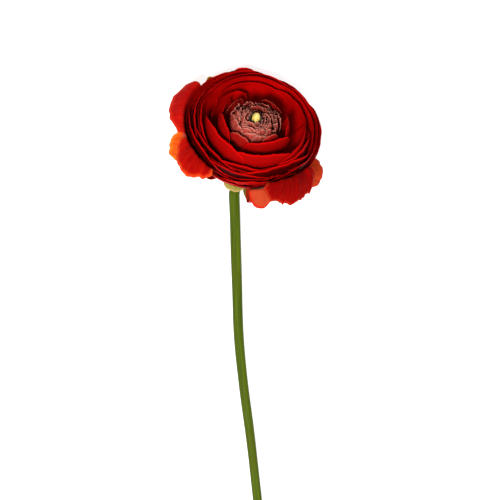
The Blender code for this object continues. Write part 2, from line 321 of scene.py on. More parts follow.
def turned(name, profile, around=32):
    """A solid of revolution about the bloom's axis from a profile of (r, z), top to bottom."""
    profile = np.asarray(profile, float)
    angle = np.linspace(0, 2 * math.pi, around, endpoint=False)[None, :]
    wide = profile[:, :1] + 0 * angle
    rings = in_bloom(wide, angle + 0 * wide, profile[:, 1:] + 0 * angle)
    last = len(profile) * around
    caps = [list(range(around - 1, -1, -1)), list(range(last - around, last))]
    faces = [list(reversed(f)) for f in ring_faces(len(profile), around) + caps]
    return add_mesh(name, rings.reshape(-1, 3), faces)


receptacle = turned("receptacle", [
    (0.4, 16.0), (1.3, 15.9), (1.9, 14.4), (2.4, 8.0), (2.8, 2.0), (3.0, 0.0), (3.1, -1.6),
    (2.9, -3.0), (0.4, -3.0),
])
finish_piece(receptacle, STEM_SKIN, "stem_green", "receptacle")

# -------------------------------------------------------------------------------------------- sepals
# Five small green sepals under the bloom, thicker than petals and tan at the margin. They grow from
# the receptacle's foot, and the one over the stem shows as a pale collar. The other four take a
# darker copy of the sepal colours, which is painted shade.

SEPAL_THICKNESS = 0.7
MARGIN_THICKNESS = 0.35
FULL_THICKNESS_FROM_EDGE = 5.0


def ripple(across, draws, waves):
    """A few sine waves across a petal with drawn phases and falling heights."""
    total = 0.0
    phases = draws.uniform(0, 2 * math.pi, len(waves))
    heights = draws.uniform(0.5, 1.0, len(waves))
    for turns, phase, high in zip(waves, phases, heights):
        total = total + high / math.sqrt(turns) * np.sin(turns * math.pi * across + phase)
    return total


def leaf(name, middle, thickness, which):
    """A closed thin solid round a grid of points (rows from base to rim, columns across). Each point is
    pushed half the local thickness both ways along the grid's normal, and the two sheets share their
    border, where the thickness has run out. The number given as which sets its veins and shade apart
    from its neighbours'."""
    rows, columns = middle.shape[:2]
    normal = np.cross(np.gradient(middle, axis=1), np.gradient(middle, axis=0))
    normal /= np.maximum(np.linalg.norm(normal, axis=2), 1e-9)[..., None]
    step_up = np.linalg.norm(np.diff(middle, axis=0), axis=2)
    step_over = np.linalg.norm(np.diff(middle, axis=1), axis=2)
    from_rim = np.vstack([np.cumsum(step_up[::-1], axis=0)[::-1], np.zeros((1, columns))])
    from_base = np.vstack([np.zeros((1, columns)), np.cumsum(step_up, axis=0)])
    from_left = np.hstack([np.zeros((rows, 1)), np.cumsum(step_over, axis=1)])
    from_right = np.hstack([np.cumsum(step_over[:, ::-1], axis=1)[:, ::-1], np.zeros((rows, 1))])
    edge = np.minimum(from_rim, np.minimum(from_left, from_right))
    fleshy = ease(np.minimum(edge, from_base * 2) / FULL_THICKNESS_FROM_EDGE)
    body = thickness * (MARGIN_THICKNESS + (1 - MARGIN_THICKNESS) * fleshy)
    border = np.zeros((rows, columns), bool)
    border[[0, -1], :] = True
    border[:, [0, -1]] = True
    outer = middle + normal * body[..., None] / 2
    outer[border] = middle[border]
    inner = (middle - normal * body[..., None] / 2)[~border]
    index = np.arange(rows * columns).reshape(rows, columns)
    under = index.copy()
    under[~border] = rows * columns + np.arange((~border).sum())

    def quads(grid):
        corners = (grid[:-1, :-1], grid[:-1, 1:], grid[1:, 1:], grid[1:, :-1])
        return np.stack(corners, -1).reshape(-1, 4)

    faces = np.vstack([quads(index), quads(under)[:, ::-1]])
    points = np.vstack([outer.reshape(-1, 3), inner])
    piece = add_mesh(name, points, faces.tolist())
    q = np.linspace(0, 1, columns)[None, :] + np.zeros((rows, 1))
    s = np.linspace(0, 1, rows)[:, None] + np.zeros((1, columns))
    uv = np.stack([q, s], -1)
    give_uv(piece, np.vstack([uv.reshape(-1, 2), uv[~border]]))
    back = np.where(border, 0.5, 1.0)
    give_attribute(piece, "back", np.concatenate([back.ravel(), np.zeros((~border).sum())]))
    give_attribute(piece, "edge_mm", np.concatenate([edge.ravel(), edge[~border]]))
    give_attribute(piece, "below_rim", np.concatenate([from_rim.ravel(), from_rim[~border]]))
    give_attribute(piece, "which", np.full(len(points), which))
    return piece


def on_the_table(points):
    """Points that would be under the table come to rest just above it: their height is eased off as
    the log of one plus its exponential."""
    rest, give = 0.2, 0.25
    above = (points[..., 2] - rest) / give
    points[..., 2] = rest + give * np.logaddexp(0.0, above)
    return points


def spread_sheet(azimuth, half, path, tilt, cup, ruffle, seed, size=(44, 40), round_off=0.16,
                 notch=0.012, waves=(2, 3, 5, 8), pinch=0.22, sway=0.0):
    """A grid of points that follows a smooth curve of (r, z) outwards from the seat, tilted and cupped
    across, with a rounded, notched and ruffled end. Past the middle it narrows by the pinch and turns
    aside by the sway, both as the square of the way to the end."""
    draws = np.random.default_rng(seed)
    rows, columns = size
    q = np.linspace(-1, 1, columns)[None, :]
    s = (1 - (1 - np.linspace(0, 1, rows)) ** 1.2)[:, None]
    t = s * (1 - round_off * np.abs(q) ** 2.2 + notch * ripple(q, draws, waves) * s**3)
    curve = smooth_path(path, 200)
    run = np.concatenate([[0], np.cumsum(np.linalg.norm(np.diff(curve, axis=0), axis=1))])
    radius = np.interp(t, run / run[-1], curve[:, 0])
    height = np.interp(t, run / run[-1], curve[:, 1])
    height = height + (tilt * q + cup * q * q) * t * t
    height = height + ruffle * ripple(q, draws, waves) * ease((s - 0.45) / 0.55)
    outwards = np.maximum((s - 0.55) / 0.45, 0) ** 2
    spread = half * (0.6 + 0.4 * ease(s / 0.45)) * (1 - pinch * outwards)
    turn = np.radians(azimuth + sway * outwards + spread * q)
    return on_the_table(in_bloom(radius, turn, height))


def sepal_material(name, shade, light, margin):
    """Yellow green with streaks along it, tan where it is thin at the margin."""
    material, tree, shader = new_material(name)
    uv = node(tree, "ShaderNodeUVMap", uv_map="leaf").outputs[0]
    edge = node(tree, "ShaderNodeAttribute", attribute_name="edge_mm").outputs["Fac"]
    streak = noise(tree, uv, 1.0, 3.0, 0.6, (26.0, 2.0, 1.0))
    colour = blend_colours(tree, remap(tree, streak, 0.35, 0.7), shade, light)
    colour = blend_colours(tree, remap(tree, edge, 0.0, 1.6, 1.0, 0.0), colour, margin)
    tree.links.new(colour, shader.inputs["Base Color"])
    shader.inputs["Roughness"].default_value = 0.6
    shader.inputs["Specular IOR Level"].default_value = 0.15
    relief(tree, shader, streak, 0.0003, 0.6)
    return material


SEPAL_PALE = sepal_material(
    "sepal_pale", shade=(0.20, 0.18, 0.020), light=(0.34, 0.32, 0.06), margin=(0.44, 0.30, 0.10)
)
# A darker, olive copy of the sepal colours: painted shade on the four sepals other than the collar.
SEPAL_PAINTED_SHADE = sepal_material(
    "sepal_painted_shade", shade=(0.085, 0.075, 0.008), light=(0.16, 0.12, 0.016), margin=(0.22, 0.14, 0.04)
)
# azimuth and half width in degrees, and the curve of radius and height
SEPALS = (
    (265.0, 36.0, ((3.6, -2.6), (8.0, -3.6), (12.5, -5.0), (17.2, -6.2))),
    (295.0, 12.0, ((3.6, -2.6), (8.5, -4.2), (14.0, -6.4), (20.5, -8.2))),
    (320.0, 11.0, ((3.6, -2.6), (10.0, -4.3), (18.0, -5.0), (26.0, -4.6))),
    (70.0, 16.0, ((3.6, -2.6), (7.0, -2.7), (10.5, -1.6), (14.0, 0.4))),
    (160.0, 16.0, ((3.6, -2.6), (7.0, -3.3), (10.5, -4.0), (14.5, -5.0))),
)
for i, (azimuth, half, path) in enumerate(SEPALS):
    sheet = spread_sheet(
        azimuth, half, path, tilt=0.0, cup=0.8, ruffle=0.1, seed=500 + i, size=(24, 18), round_off=0.3
    )
    sepal = leaf(f"sepal_{i + 1}", sheet, SEPAL_THICKNESS, i + 110.5)
    # The collar takes the pale colours, and the others take the darker copy with painted shade.
    finish_piece(sepal, SEPAL_PALE if i == 0 else SEPAL_PAINTED_SHADE, "sepal_green", f"sepal_{i + 1}")

# ------------------------------------------------------------------------------------- guard petals
# Eight loose outer petals, the oldest ones: satiny sheets with veins that fan out from the claw. They
# have opened away from the bowl, and are bright red with orange and salmon where they have faded.

GUARD_THICKNESS = 0.3
PETAL_GLOSS = 0.03
PETAL_GLOSS_TINT = (1.0, 0.12, 0.10, 1.0)


def petal_group():
    """Petal flesh: blotches, a fan of veins, a pale margin, a dark claw, and another colour on the
    back, with painted shade on the back from a depth below the rim, where other petals cover it. On the
    bowl's deep red petals the pale margin is a painted highlight where light catches the rim."""
    tree = bpy.data.node_groups.new("petal_flesh", "ShaderNodeTree")
    face = tree.interface
    for name in ("Face", "Deep", "Back", "Margin", "Claw"):
        face.new_socket(name, in_out="INPUT", socket_type="NodeSocketColor")
    for name in ("Margin Width", "Vein", "Painted Shade Below"):
        face.new_socket(name, in_out="INPUT", socket_type="NodeSocketFloat")
    face.new_socket("Colour", in_out="OUTPUT", socket_type="NodeSocketColor")
    face.new_socket("Roughness", in_out="OUTPUT", socket_type="NodeSocketFloat")
    face.new_socket("Height", in_out="OUTPUT", socket_type="NodeSocketFloat")
    given = tree.nodes.new("NodeGroupInput").outputs
    result = tree.nodes.new("NodeGroupOutput").inputs
    uv = node(tree, "ShaderNodeUVMap", uv_map="leaf").outputs[0]
    place = node(tree, "ShaderNodeTexCoord").outputs["Object"]
    back = node(tree, "ShaderNodeAttribute", attribute_name="back").outputs["Fac"]
    edge = node(tree, "ShaderNodeAttribute", attribute_name="edge_mm").outputs["Fac"]
    which = node(tree, "ShaderNodeAttribute", attribute_name="which").outputs["Fac"]
    below = node(tree, "ShaderNodeAttribute", attribute_name="below_rim").outputs["Fac"]
    apart = node(tree, "ShaderNodeCombineXYZ", Z=number(tree, "MULTIPLY", which, 7.3)).outputs[0]
    shifted = node(tree, "ShaderNodeVectorMath", operation="ADD", i0=uv, i1=apart).outputs[0]
    veins = noise(tree, shifted, 1.0, 3.0, 0.62, (46.0, 2.2, 1.0))
    fine = noise(tree, shifted, 1.0, 2.0, 0.5, (150.0, 6.0, 1.0))
    blotch = noise(tree, place, 70.0, 4.0, 0.55)
    up = node(tree, "ShaderNodeSeparateXYZ", Vector=uv).outputs["Y"]
    colour = blend_colours(tree, remap(tree, blotch, 0.35, 0.68), given["Face"], given["Deep"])
    colour = blend_colours(tree, back, colour, given["Back"])
    vein_share = number(tree, "MULTIPLY", remap(tree, veins, 0.42, 0.7), given["Vein"])
    colour = blend_colours(tree, vein_share, colour, given["Deep"])
    pale = number(tree, "MULTIPLY", given["Vein"], 0.4)
    pale_vein = number(tree, "MULTIPLY", remap(tree, fine, 0.56, 0.8), pale)
    colour = blend_colours(tree, pale_vein, colour, given["Margin"])
    # Margin colour near the edge: the petal's own pale, pink or green margin on most finishes, and on
    # the bowl's deep red petals a painted highlight where light catches the rim.
    near_edge = number(tree, "DIVIDE", edge, given["Margin Width"])
    rim = number(tree, "POWER", number(tree, "SUBTRACT", 1.0, near_edge, clamp=True), 1.6)
    colour = blend_colours(tree, rim, colour, given["Margin"])
    colour = blend_colours(tree, remap(tree, up, 0.0, 0.28, 1.0, 0.0), colour, given["Claw"])
    lot = number(tree, "FRACT", number(tree, "MULTIPLY", which, 3.77))
    # Painted shade: the back darkens from the given depth below the rim, where other petals cover it,
    # and this scales down the petal's random tone.
    depth = number(tree, "DIVIDE", below, given["Painted Shade Below"])
    painted_shade = number(tree, "MULTIPLY", remap(tree, depth, 1.0, 3.6, 0.0, 0.84), back)
    light = number(tree, "SUBTRACT", remap(tree, lot, 0.0, 1.0, 0.86, 1.12), painted_shade)
    tinted = node(tree, "ShaderNodeVectorMath", operation="SCALE", i0=colour)
    tree.links.new(light, tinted.inputs["Scale"])
    tree.links.new(tinted.outputs[0], result["Colour"])
    tree.links.new(remap(tree, veins, 0.3, 0.7, 0.5, 0.66), result["Roughness"])
    ridge = number(tree, "ADD", veins, number(tree, "MULTIPLY", fine, 0.35))
    tree.links.new(ridge, result["Height"])
    return tree


PETAL_FLESH = petal_group()


def petal_material(name, margin_width, vein, painted_shade_below=60.0, **colours):
    """A petal finish from the shared flesh group, with its own colours. The margin's width is in
    millimetres, and the back carries painted shade from so many millimetres below the rim."""
    material, tree, shader = new_material(name)
    flesh = tree.nodes.new("ShaderNodeGroup")
    flesh.node_tree = PETAL_FLESH
    for key, value in colours.items():
        flesh.inputs[key.title()].default_value = (*value, 1.0)
    flesh.inputs["Margin Width"].default_value = margin_width
    flesh.inputs["Vein"].default_value = vein
    flesh.inputs["Painted Shade Below"].default_value = painted_shade_below
    tree.links.new(flesh.outputs["Colour"], shader.inputs["Base Color"])
    tree.links.new(flesh.outputs["Roughness"], shader.inputs["Roughness"])
    shader.inputs["Specular IOR Level"].default_value = PETAL_GLOSS
    shader.inputs["Specular Tint"].default_value = PETAL_GLOSS_TINT
    relief(tree, shader, flesh.outputs["Height"], 0.00025, 0.5)
    return material


GUARD_RED = petal_material(
    "guard_red", 2.6, 0.8, face=(0.60, 0.009, 0.005), deep=(0.36, 0.002, 0.002),
    back=(0.52, 0.02, 0.006), margin=(0.70, 0.03, 0.008), claw=(0.3, 0.03, 0.004),
)
GUARD_DEEP = petal_material(
    "guard_deep", 1.6, 0.45, face=(0.46, 0.0015, 0.001), deep=(0.32, 0.0008, 0.0006),
    back=(0.34, 0.003, 0.002), margin=(0.54, 0.004, 0.002), claw=(0.2, 0.01, 0.002),
)
GUARD_LOWER = petal_material(
    "guard_lower", 2.6, 0.8, face=(0.38, 0.002, 0.001), deep=(0.20, 0.001, 0.001),
    back=(0.36, 0.004, 0.002), margin=(0.66, 0.06, 0.010), claw=(0.3, 0.03, 0.004),
)
GUARD_CREASED = petal_material(
    "guard_creased", 1.8, 0.8, face=(0.30, 0.0015, 0.001), deep=(0.13, 0.0006, 0.0006),
    back=(0.26, 0.002, 0.001), margin=(0.46, 0.026, 0.008), claw=(0.3, 0.03, 0.004),
)
GUARD_ORANGE = petal_material(
    "guard_orange", 3.0, 0.35, face=(0.70, 0.115, 0.009), deep=(0.56, 0.06, 0.004),
    back=(0.80, 0.12, 0.012), margin=(0.80, 0.19, 0.015), claw=(0.5, 0.05, 0.004),
)
GUARD_SALMON = petal_material(
    "guard_salmon", 1.2, 0.3, face=(0.74, 0.090, 0.026), deep=(0.60, 0.045, 0.010),
    back=(0.70, 0.10, 0.03), margin=(0.66, 0.03, 0.010), claw=(0.6, 0.04, 0.01),
)
GUARD_FADED = petal_material(
    "guard_faded", 3.0, 0.7, face=(0.40, 0.052, 0.017), deep=(0.30, 0.022, 0.007),
    back=(0.30, 0.004, 0.002), margin=(0.46, 0.004, 0.001), claw=(0.4, 0.004, 0.002),
)
GUARD_GREEN_TIP = petal_material(
    "guard_green_tip", 4.0, 0.4, face=(0.40, 0.02, 0.002), deep=(0.28, 0.003, 0.001),
    back=(0.45, 0.10, 0.006), margin=(0.38, 0.24, 0.008), claw=(0.3, 0.1, 0.01),
)
# finish, azimuth and half width in degrees, tilt and cup across, and the curve of radius and height
GUARDS = (
    (GUARD_RED, 182.0, 34.0, 0.0, -1.4, ((3.7, -1.1), (19.0, 0.8), (29.0, 8.5), (33.2, 18.0),
                                         (33.9, 24.8), (36.0, 27.8), (41.5, 24.4))),
    (GUARD_ORANGE, 181.0, 24.0, -2.0, 0.6, ((3.7, -1.9), (12.0, -1.6), (20.4, -2.1), (28.6, -3.3),
                                            (37.2, -5.2))),
    (GUARD_LOWER, 227.5, 15.0, 0.0, -1.0, ((3.7, -1.1), (18.0, 0.4), (28.6, 8.0), (32.8, 17.5),
                                           (33.8, 24.0), (36.4, 25.0), (42.4, 17.8))),
    (GUARD_FADED, 292.5, 6.5, 1.6, -0.6, ((3.7, -0.9), (16.0, -1.4), (26.0, 0.0), (31.0, 7.0),
                                           (33.4, 16.0), (34.4, 21.6), (36.0, 20.6), (39.0, 11.6))),
    (GUARD_CREASED, 320.0, 15.5, 0.0, -0.6, ((3.7, -1.5), (19.0, 0.8), (29.0, 9.0), (33.0, 19.0),
                                             (34.0, 26.2), (37.0, 27.0), (43.6, 18.0))),
    (GUARD_SALMON, 370.0, 24.0, 0.2, 1.0, ((3.7, -2.1), (13.0, -2.3), (22.0, -2.6), (31.0, -3.0),
                                           (39.6, -3.0))),
    (GUARD_GREEN_TIP, 141.0, 10.0, 0.0, 0.0, ((3.7, -1.2), (19.0, 0.8), (29.5, 8.5), (33.9, 17.0),
                                              (34.8, 22.0), (35.8, 24.4))),
    (GUARD_DEEP, 112.0, 30.0, 0.0, -0.8, ((3.7, -1.2), (19.0, 1.4), (28.8, 9.5), (33.0, 18.0),
                                          (34.0, 23.0), (35.0, 26.4))),
)
# how the ends of some of them differ: roundness, notches, narrowing and turning aside
GUARD_ENDS = {
    0: dict(round_off=0.10),
    2: dict(pinch=-0.35, sway=4.0),
    3: dict(round_off=0.20, notch=0.004, waves=(2, 3), pinch=-0.80),
    4: dict(notch=0.028, waves=(3, 6, 11, 17), pinch=-0.45, sway=-7.0),
}
GUARD_RUFFLES = {2: 0.45, 4: 0.9}
for i, (material, azimuth, half, tilt, cup, path) in enumerate(GUARDS):
    name = f"guard_petal_{i + 1}"
    ruffle = GUARD_RUFFLES.get(i, 0.3)
    sheet = spread_sheet(azimuth, half, path, tilt, cup, ruffle, 400 + i, **GUARD_ENDS.get(i, {}))
    piece = leaf(name, sheet, GUARD_THICKNESS, i + 90.5)
    finish_piece(piece, material, "guard_petal_red", name)

# -------------------------------------------------------------------------------- petals of the bowl
# Deep red petals stand close together and make the bowl: twenty are seated in turn up the receptacle,
# each a golden angle on from the last and just inside the ones before it, and the side over the stem
# has shorter ones between them.

HUB_HEIGHT = 26.0
SEAT_RADIUS = 3.5
GOLDEN_ANGLE = 137.5
OUTER_PETALS = 20
NEAR_PETALS = 32
BOWL_THICKNESS = 0.24


def shell_depth(width):
    """How far a shell's lowest point is below the hub: a constant plus a share of the shell's width
    against the widest shell's, raised to a power a little over one."""
    return 9.5 + 16.5 * (np.maximum(width, 0.1) / 33.0) ** 1.3


def shell_reach(width, polar):
    """Distance from the hub to a shell, an ellipse as wide as the shell whose upright half axis is its
    depth below the hub and its dome above it."""
    dome = np.interp(width, (4, 15, 18.5, 23, 26, 27.5, 33), (8.2, 12.2, 13, 11.8, 11.4, 9.5, 16))
    upright = np.where(polar < math.pi / 2, shell_depth(width), dome)
    return 1.0 / np.hypot(np.sin(polar) / width, np.cos(polar) / upright)


def open_width(width, azimuth):
    """A shell's width at an azimuth: its width less a room on the left, where the inner shells draw in,
    a flatter side over the stem and a dent on the lower right, plus three slow waves round it."""
    room = np.interp(width, (13, 17, 23, 27, 33), (0, 0.5, 2.4, 2.2, 0))
    slack = np.maximum(np.cos(azimuth - math.radians(185)), 0) ** 1.5
    near = np.maximum(-np.sin(azimuth), 0) ** 3 * ease((width - 27) / 5)
    from_dent = (np.degrees(azimuth) - 315 + 180) % 360 - 180
    dent = np.exp(-((from_dent / 20) ** 2)) * ease((width - 26) / 5)
    bays = (
        0.30 * np.sin(2 * azimuth + 0.11 * width + 0.6)
        + 0.25 * np.sin(3 * azimuth - 0.16 * width + 2.1)
        + 0.18 * np.sin(5 * azimuth + 0.23 * width + 4.0)
    )
    return width - room * slack - 0.6 * near - 2.0 * dent + bays * ease((width - 8) / 12)


def shell_sheet(width, azimuth, half, rim, drop, flare, ruffle, twist, seed, size=(44, 40),
                pinch=0.12, fall=3.2, lean=0.0):
    """A grid of points on one shell. Along: from the seat on the receptacle to the rim, whose height
    falls away to both sides. Across: an azimuth either side of the petal's middle, narrow at the claw
    and pinched at the shoulders. The shell's width turns with the petal, leans out at the rim and
    ruffles there."""
    draws = np.random.default_rng(seed)
    rows, columns = size
    q = np.linspace(-1, 1, columns)[None, :]
    s = (1 - (1 - np.linspace(0, 1, rows)) ** 1.25)[:, None]
    top = rim - drop * np.abs(q) ** fall + lean * q + 0.55 * ripple(q, draws, (2, 3, 5, 9, 14))
    seat = math.degrees(math.asin(SEAT_RADIUS / shell_depth(width)))
    polar = np.radians(seat + (top - seat) * s)
    claw = 0.5 + 0.5 * ease((np.degrees(polar) - seat) / 38.0)
    spread = half * claw * (1 - pinch * np.maximum((s - 0.6) / 0.4, 0) ** 2)
    turn = np.radians(azimuth + spread * q)
    raised = ease((np.degrees(polar) - 40.0) / 50.0)
    local = width + (open_width(width, turn) - width) * raised + twist * q * spread / half
    reach = shell_reach(local, polar)
    at_rim = ease((s - 0.72) / 0.28)
    reach = reach + flare * at_rim**2 * (1 - 0.4 * q**2)
    reach = reach + 0.7 * ruffle * ripple(q, draws, (3, 5, 9, 14)) * at_rim**1.5
    reach = reach + 0.10 * ripple(q + 0.3 * s, draws, (4, 7)) * ease(s * 2)
    return on_the_table(in_bloom(reach * np.sin(polar), turn, HUB_HEIGHT - reach * np.cos(polar)))


def bowl_material(name, painted_shade_below, back):
    """Deep velvety red, a little darker on the back, with a brighter rim that is a painted highlight;
    the copies for the close rims paint their backs darker still as painted shade.
    """
    return petal_material(
        name, 1.6, 0.45, painted_shade_below=painted_shade_below, face=(0.40, 0.0012, 0.001), deep=(0.26, 0.0006, 0.0005),
        back=back, margin=(0.52, 0.002, 0.0015), claw=(0.10, 0.0005, 0.0005),
    )


# Three copies of one red that differ in painted shade: the first has none below its rim; the second and
# third have darker backs that also darken further from about half and a fifth of a millimetre below the
# rim, for the close rims where other petals cover them.
BOWL_OUTSIDE = bowl_material("bowl_outside", 60.0, (0.30, 0.0012, 0.001))
BOWL_RED_PAINTED_SHADE = bowl_material("bowl_red_painted_shade", 0.5, (0.22, 0.001, 0.001))
BOWL_SHORT_PAINTED_SHADE = bowl_material("bowl_short_painted_shade", 0.22, (0.17, 0.0008, 0.0008))
OUTER_WIDTH = 32.9
NEAR_WIDTH = 33.35
lots = np.random.default_rng(11)
for i in range(OUTER_PETALS):
    name = f"outer_petal_{i + 1:02d}"
    azimuth = 20.0 + GOLDEN_ANGLE * i
    near = max(0.0, -math.sin(math.radians(azimuth)))
    far = max(0.0, math.sin(math.radians(azimuth)))
    lower = 8.0 * near * max(0.0, 1.0 - i / 9.0) + 2.5 * far
    rim = 92.3 + 0.24 * i + lots.uniform(-2.6, 2.6) - lower
    sheet = shell_sheet(
        OUTER_WIDTH - 0.28 * i, azimuth, half=60.0, rim=rim, drop=17.0, flare=0.45 + 0.9 * far,
        ruffle=0.20, twist=-0.45, seed=100 + i, fall=2.6, lean=lots.uniform(-4.0, 4.0),
    )
    # The outermost and far petals take the red without painted shade; the others take the copy with
    # painted shade below the rim.
    material = BOWL_OUTSIDE if i < 3 or far > 0.15 else BOWL_RED_PAINTED_SHADE
    finish_piece(leaf(name, sheet, BOWL_THICKNESS, i + 0.5), material, "petal_red", name)
for i in range(NEAR_PETALS):
    azimuth = 172.0 + 148.0 * math.fmod(0.618 * (i + 1), 1.0)
    rim = 75.5 + 0.58 * i + lots.uniform(-1.2, 1.2)
    sheet = shell_sheet(
        NEAR_WIDTH - 0.16 * i, azimuth, half=40.0, rim=rim, drop=8.0, flare=0.25, ruffle=0.2,
        twist=-0.4, seed=600 + i, size=(36, 40), fall=2.2, lean=lots.uniform(-5.0, 5.0),
    )
    name = f"outer_petal_{i + 1:02d}_b"
    # The first two take the red without painted shade; the rest take the copy with deeper painted
    # shade.
    material = BOWL_OUTSIDE if i < 2 else BOWL_SHORT_PAINTED_SHADE
    finish_piece(leaf(name, sheet, BOWL_THICKNESS, i + 20.5), material, "petal_red")

# ---------------------------------------------------------------------- petals inside the bowl
# Ten broader petals in two whorls. Over the stem they curl in and hide the bowl's depth; on the side
# that rests on the table they stand up and show their faces.

# The middle petals' red, with painted shade on the back from about 5 mm below the rim.
INNER_RED_PAINTED_SHADE = bowl_material("inner_red_painted_shade", 5.0, (0.22, 0.001, 0.001))
# azimuth, half width, shell's width, twist, rim's angle, fall at the sides, lean
MIDDLE = (
    (229.0, 48.0, 25.2, -0.3, 103.5, 9.0, 3.0),
    (290.0, 50.0, 24.7, 0.2, 104.5, 9.0, 0.0),
    (345.0, 46.0, 25.6, 0.0, 99.0, 9.0, -1.5),
    (45.0, 50.0, 26.0, 0.0, 93.0, 8.0, 0.0),
    (108.0, 50.0, 25.3, 0.0, 93.0, 8.0, 0.0),
    (146.0, 38.0, 21.6, 1.0, 95.0, 8.0, 2.0),
    (212.0, 32.0, 18.3, 0.0, 111.0, 13.0, -1.0),
    (306.0, 46.0, 17.4, 1.5, 113.0, 9.0, 0.0),
    (10.0, 28.0, 17.0, 0.0, 112.0, 9.0, 0.0),
    (166.0, 25.0, 17.2, 0.0, 106.0, 12.0, 0.0),
)
for i, (azimuth, half, width, twist, rim, drop, lean) in enumerate(MIDDLE):
    name = f"middle_petal_{i + 1:02d}"
    sheet = shell_sheet(
        width, azimuth, half, rim, drop, flare=0.3, ruffle=0.2, twist=twist, seed=200 + i, lean=lean,
    )
    finish_piece(leaf(name, sheet, BOWL_THICKNESS, i + 30.5), INNER_RED_PAINTED_SHADE, "petal_red", name)

# -------------------------------------------------------------------------------- petals: the heart
# The youngest petals crowd round the bud, small, crumpled and dusty pink at their margins. The four
# outermost are still red, with a pale margin.

# Both heart finishes have painted shade on the back, from about 5 mm and 2.6 mm below the rim.
HEART_RED = petal_material(
    "heart_red", 1.0, 0.6, painted_shade_below=5.0, face=(0.34, 0.008, 0.006), deep=(0.22, 0.002, 0.002),
    back=(0.24, 0.004, 0.003), margin=(0.52, 0.09, 0.06), claw=(0.12, 0.001, 0.001),
)
HEART_PINK = petal_material(
    "heart_pink", 1.4, 1.0, painted_shade_below=2.6, face=(0.30, 0.03, 0.02), deep=(0.15, 0.004, 0.003),
    back=(0.34, 0.05, 0.035), margin=(0.56, 0.20, 0.15), claw=(0.06, 0.002, 0.001),
)
# azimuth, half width, shell's width, rim's angle, fall at the sides
HEART_OUTER = (
    (252.0, 30.0, 15.4, 113.0, 10.0),
    (65.0, 32.0, 14.8, 111.0, 8.0),
    (150.0, 30.0, 14.6, 111.0, 12.0),
    (318.0, 27.0, 13.9, 117.0, 9.0),
)
HEART_LEVELS = 10
HEART_WIDTH = 12.2
HEART_STEP = 0.84
HEART_NARROW = 4.0
HEART_PARTS = ("", "_b", "_c", "_d", "_e")
HEART_OUTER_THICKNESS = 0.2
HEART_THICKNESS = 0.18
for i, (azimuth, half, width, rim, drop) in enumerate(HEART_OUTER):
    name = f"heart_petal_{i + 1:02d}"
    sheet = shell_sheet(
        width, azimuth, half, rim, drop, flare=0.2, ruffle=0.2, twist=0.0, seed=300 + i, size=(36, 32),
        pinch=0.25,
    )
    petal = leaf(name, sheet, HEART_OUTER_THICKNESS, i + 50.5)
    finish_piece(petal, HEART_RED, "heart_petal_pink", name)
for i in range(HEART_LEVELS):
    for part, suffix in enumerate(HEART_PARTS):
        order = len(HEART_PARTS) * i + part
        width = HEART_WIDTH - HEART_STEP * (i + part / len(HEART_PARTS))
        azimuth = 30.0 + GOLDEN_ANGLE * order + lots.uniform(-16.0, 16.0)
        opening = 2.6 + 0.9 * (width - HEART_NARROW)
        dome = 8.2 + 4.0 * (width - HEART_NARROW) / 11.0
        high = dome * math.sqrt(1.0 - (opening / width) ** 2)
        far = max(0.0, math.sin(math.radians(azimuth)))
        short = 24.0 * far * max(0.0, 8.0 - width) / 4.0
        rim = 90.0 + math.degrees(math.atan2(high, opening)) + lots.uniform(-9.0, 3.0) - short
        half = lots.uniform(20.0, 44.0) + 1.4 * i
        sheet = shell_sheet(
            width, azimuth, half, rim, drop=lots.uniform(6.0, 20.0), flare=lots.uniform(-0.6, 0.8),
            ruffle=0.9, twist=-0.5, seed=320 + order, size=(30, 34), pinch=0.25, fall=2.2,
            lean=lots.uniform(-10.0, 10.0),
        )
        name = f"heart_petal_{i + 5:02d}" + suffix
        petal = leaf(name, sheet, HEART_THICKNESS, order + 54.5)
        finish_piece(petal, HEART_PINK, "heart_petal_pink", *([name] if part == 0 else []))

# ---------------------------------------------------------------------- the head of carpels, stamens
# The pale yellow egg of packed carpels in the very middle, on a green stalk, and the dark anthers of
# the stamens round its foot, on short yellow green filaments.

EGG_MIDDLE = 31.2
EGG_HALF_HEIGHT = 3.9
EGG_HALF_WIDTH = 1.95
STALK = ((1.0, 27.6), (1.1, 25.0), (1.3, 16.3), (0.3, 16.2))
sweep = np.linspace(0.06, math.pi * 0.8, 26)
egg = np.stack([
    EGG_HALF_WIDTH * np.sin(sweep) ** 0.9 * (1 + 0.08 * np.cos(sweep)),
    EGG_MIDDLE + EGG_HALF_HEIGHT * np.cos(sweep),
], -1)
carpels = turned("carpel_head", np.vstack([egg, STALK]), 48)


def carpel_material():
    """Pale yellow beads, darker and browner in the creases between them, which is painted shade."""
    material, tree, shader = new_material("carpel_skin")
    place = node(tree, "ShaderNodeTexCoord").outputs["Object"]
    cells = node(tree, "ShaderNodeTexVoronoi", Vector=place, Scale=1700.0).outputs["Distance"]
    # Painted shade: the colour darkens toward the creases between the beads.
    colour = blend_colours(tree, remap(tree, cells, 0.2, 0.8), (0.72, 0.58, 0.16), (0.50, 0.32, 0.05))
    tree.links.new(colour, shader.inputs["Base Color"])
    shader.inputs["Roughness"].default_value = 0.5
    relief(tree, shader, number(tree, "SUBTRACT", 1.0, cells), 0.0003, 0.4)
    return material


finish_piece(carpels, carpel_material(), "carpel_yellow", "carpel_head")

STAMENS = 30
STAMEN_LENGTH = 7.5
STAMEN_FOOT = 1.4
STAMEN_REACH = 2.3


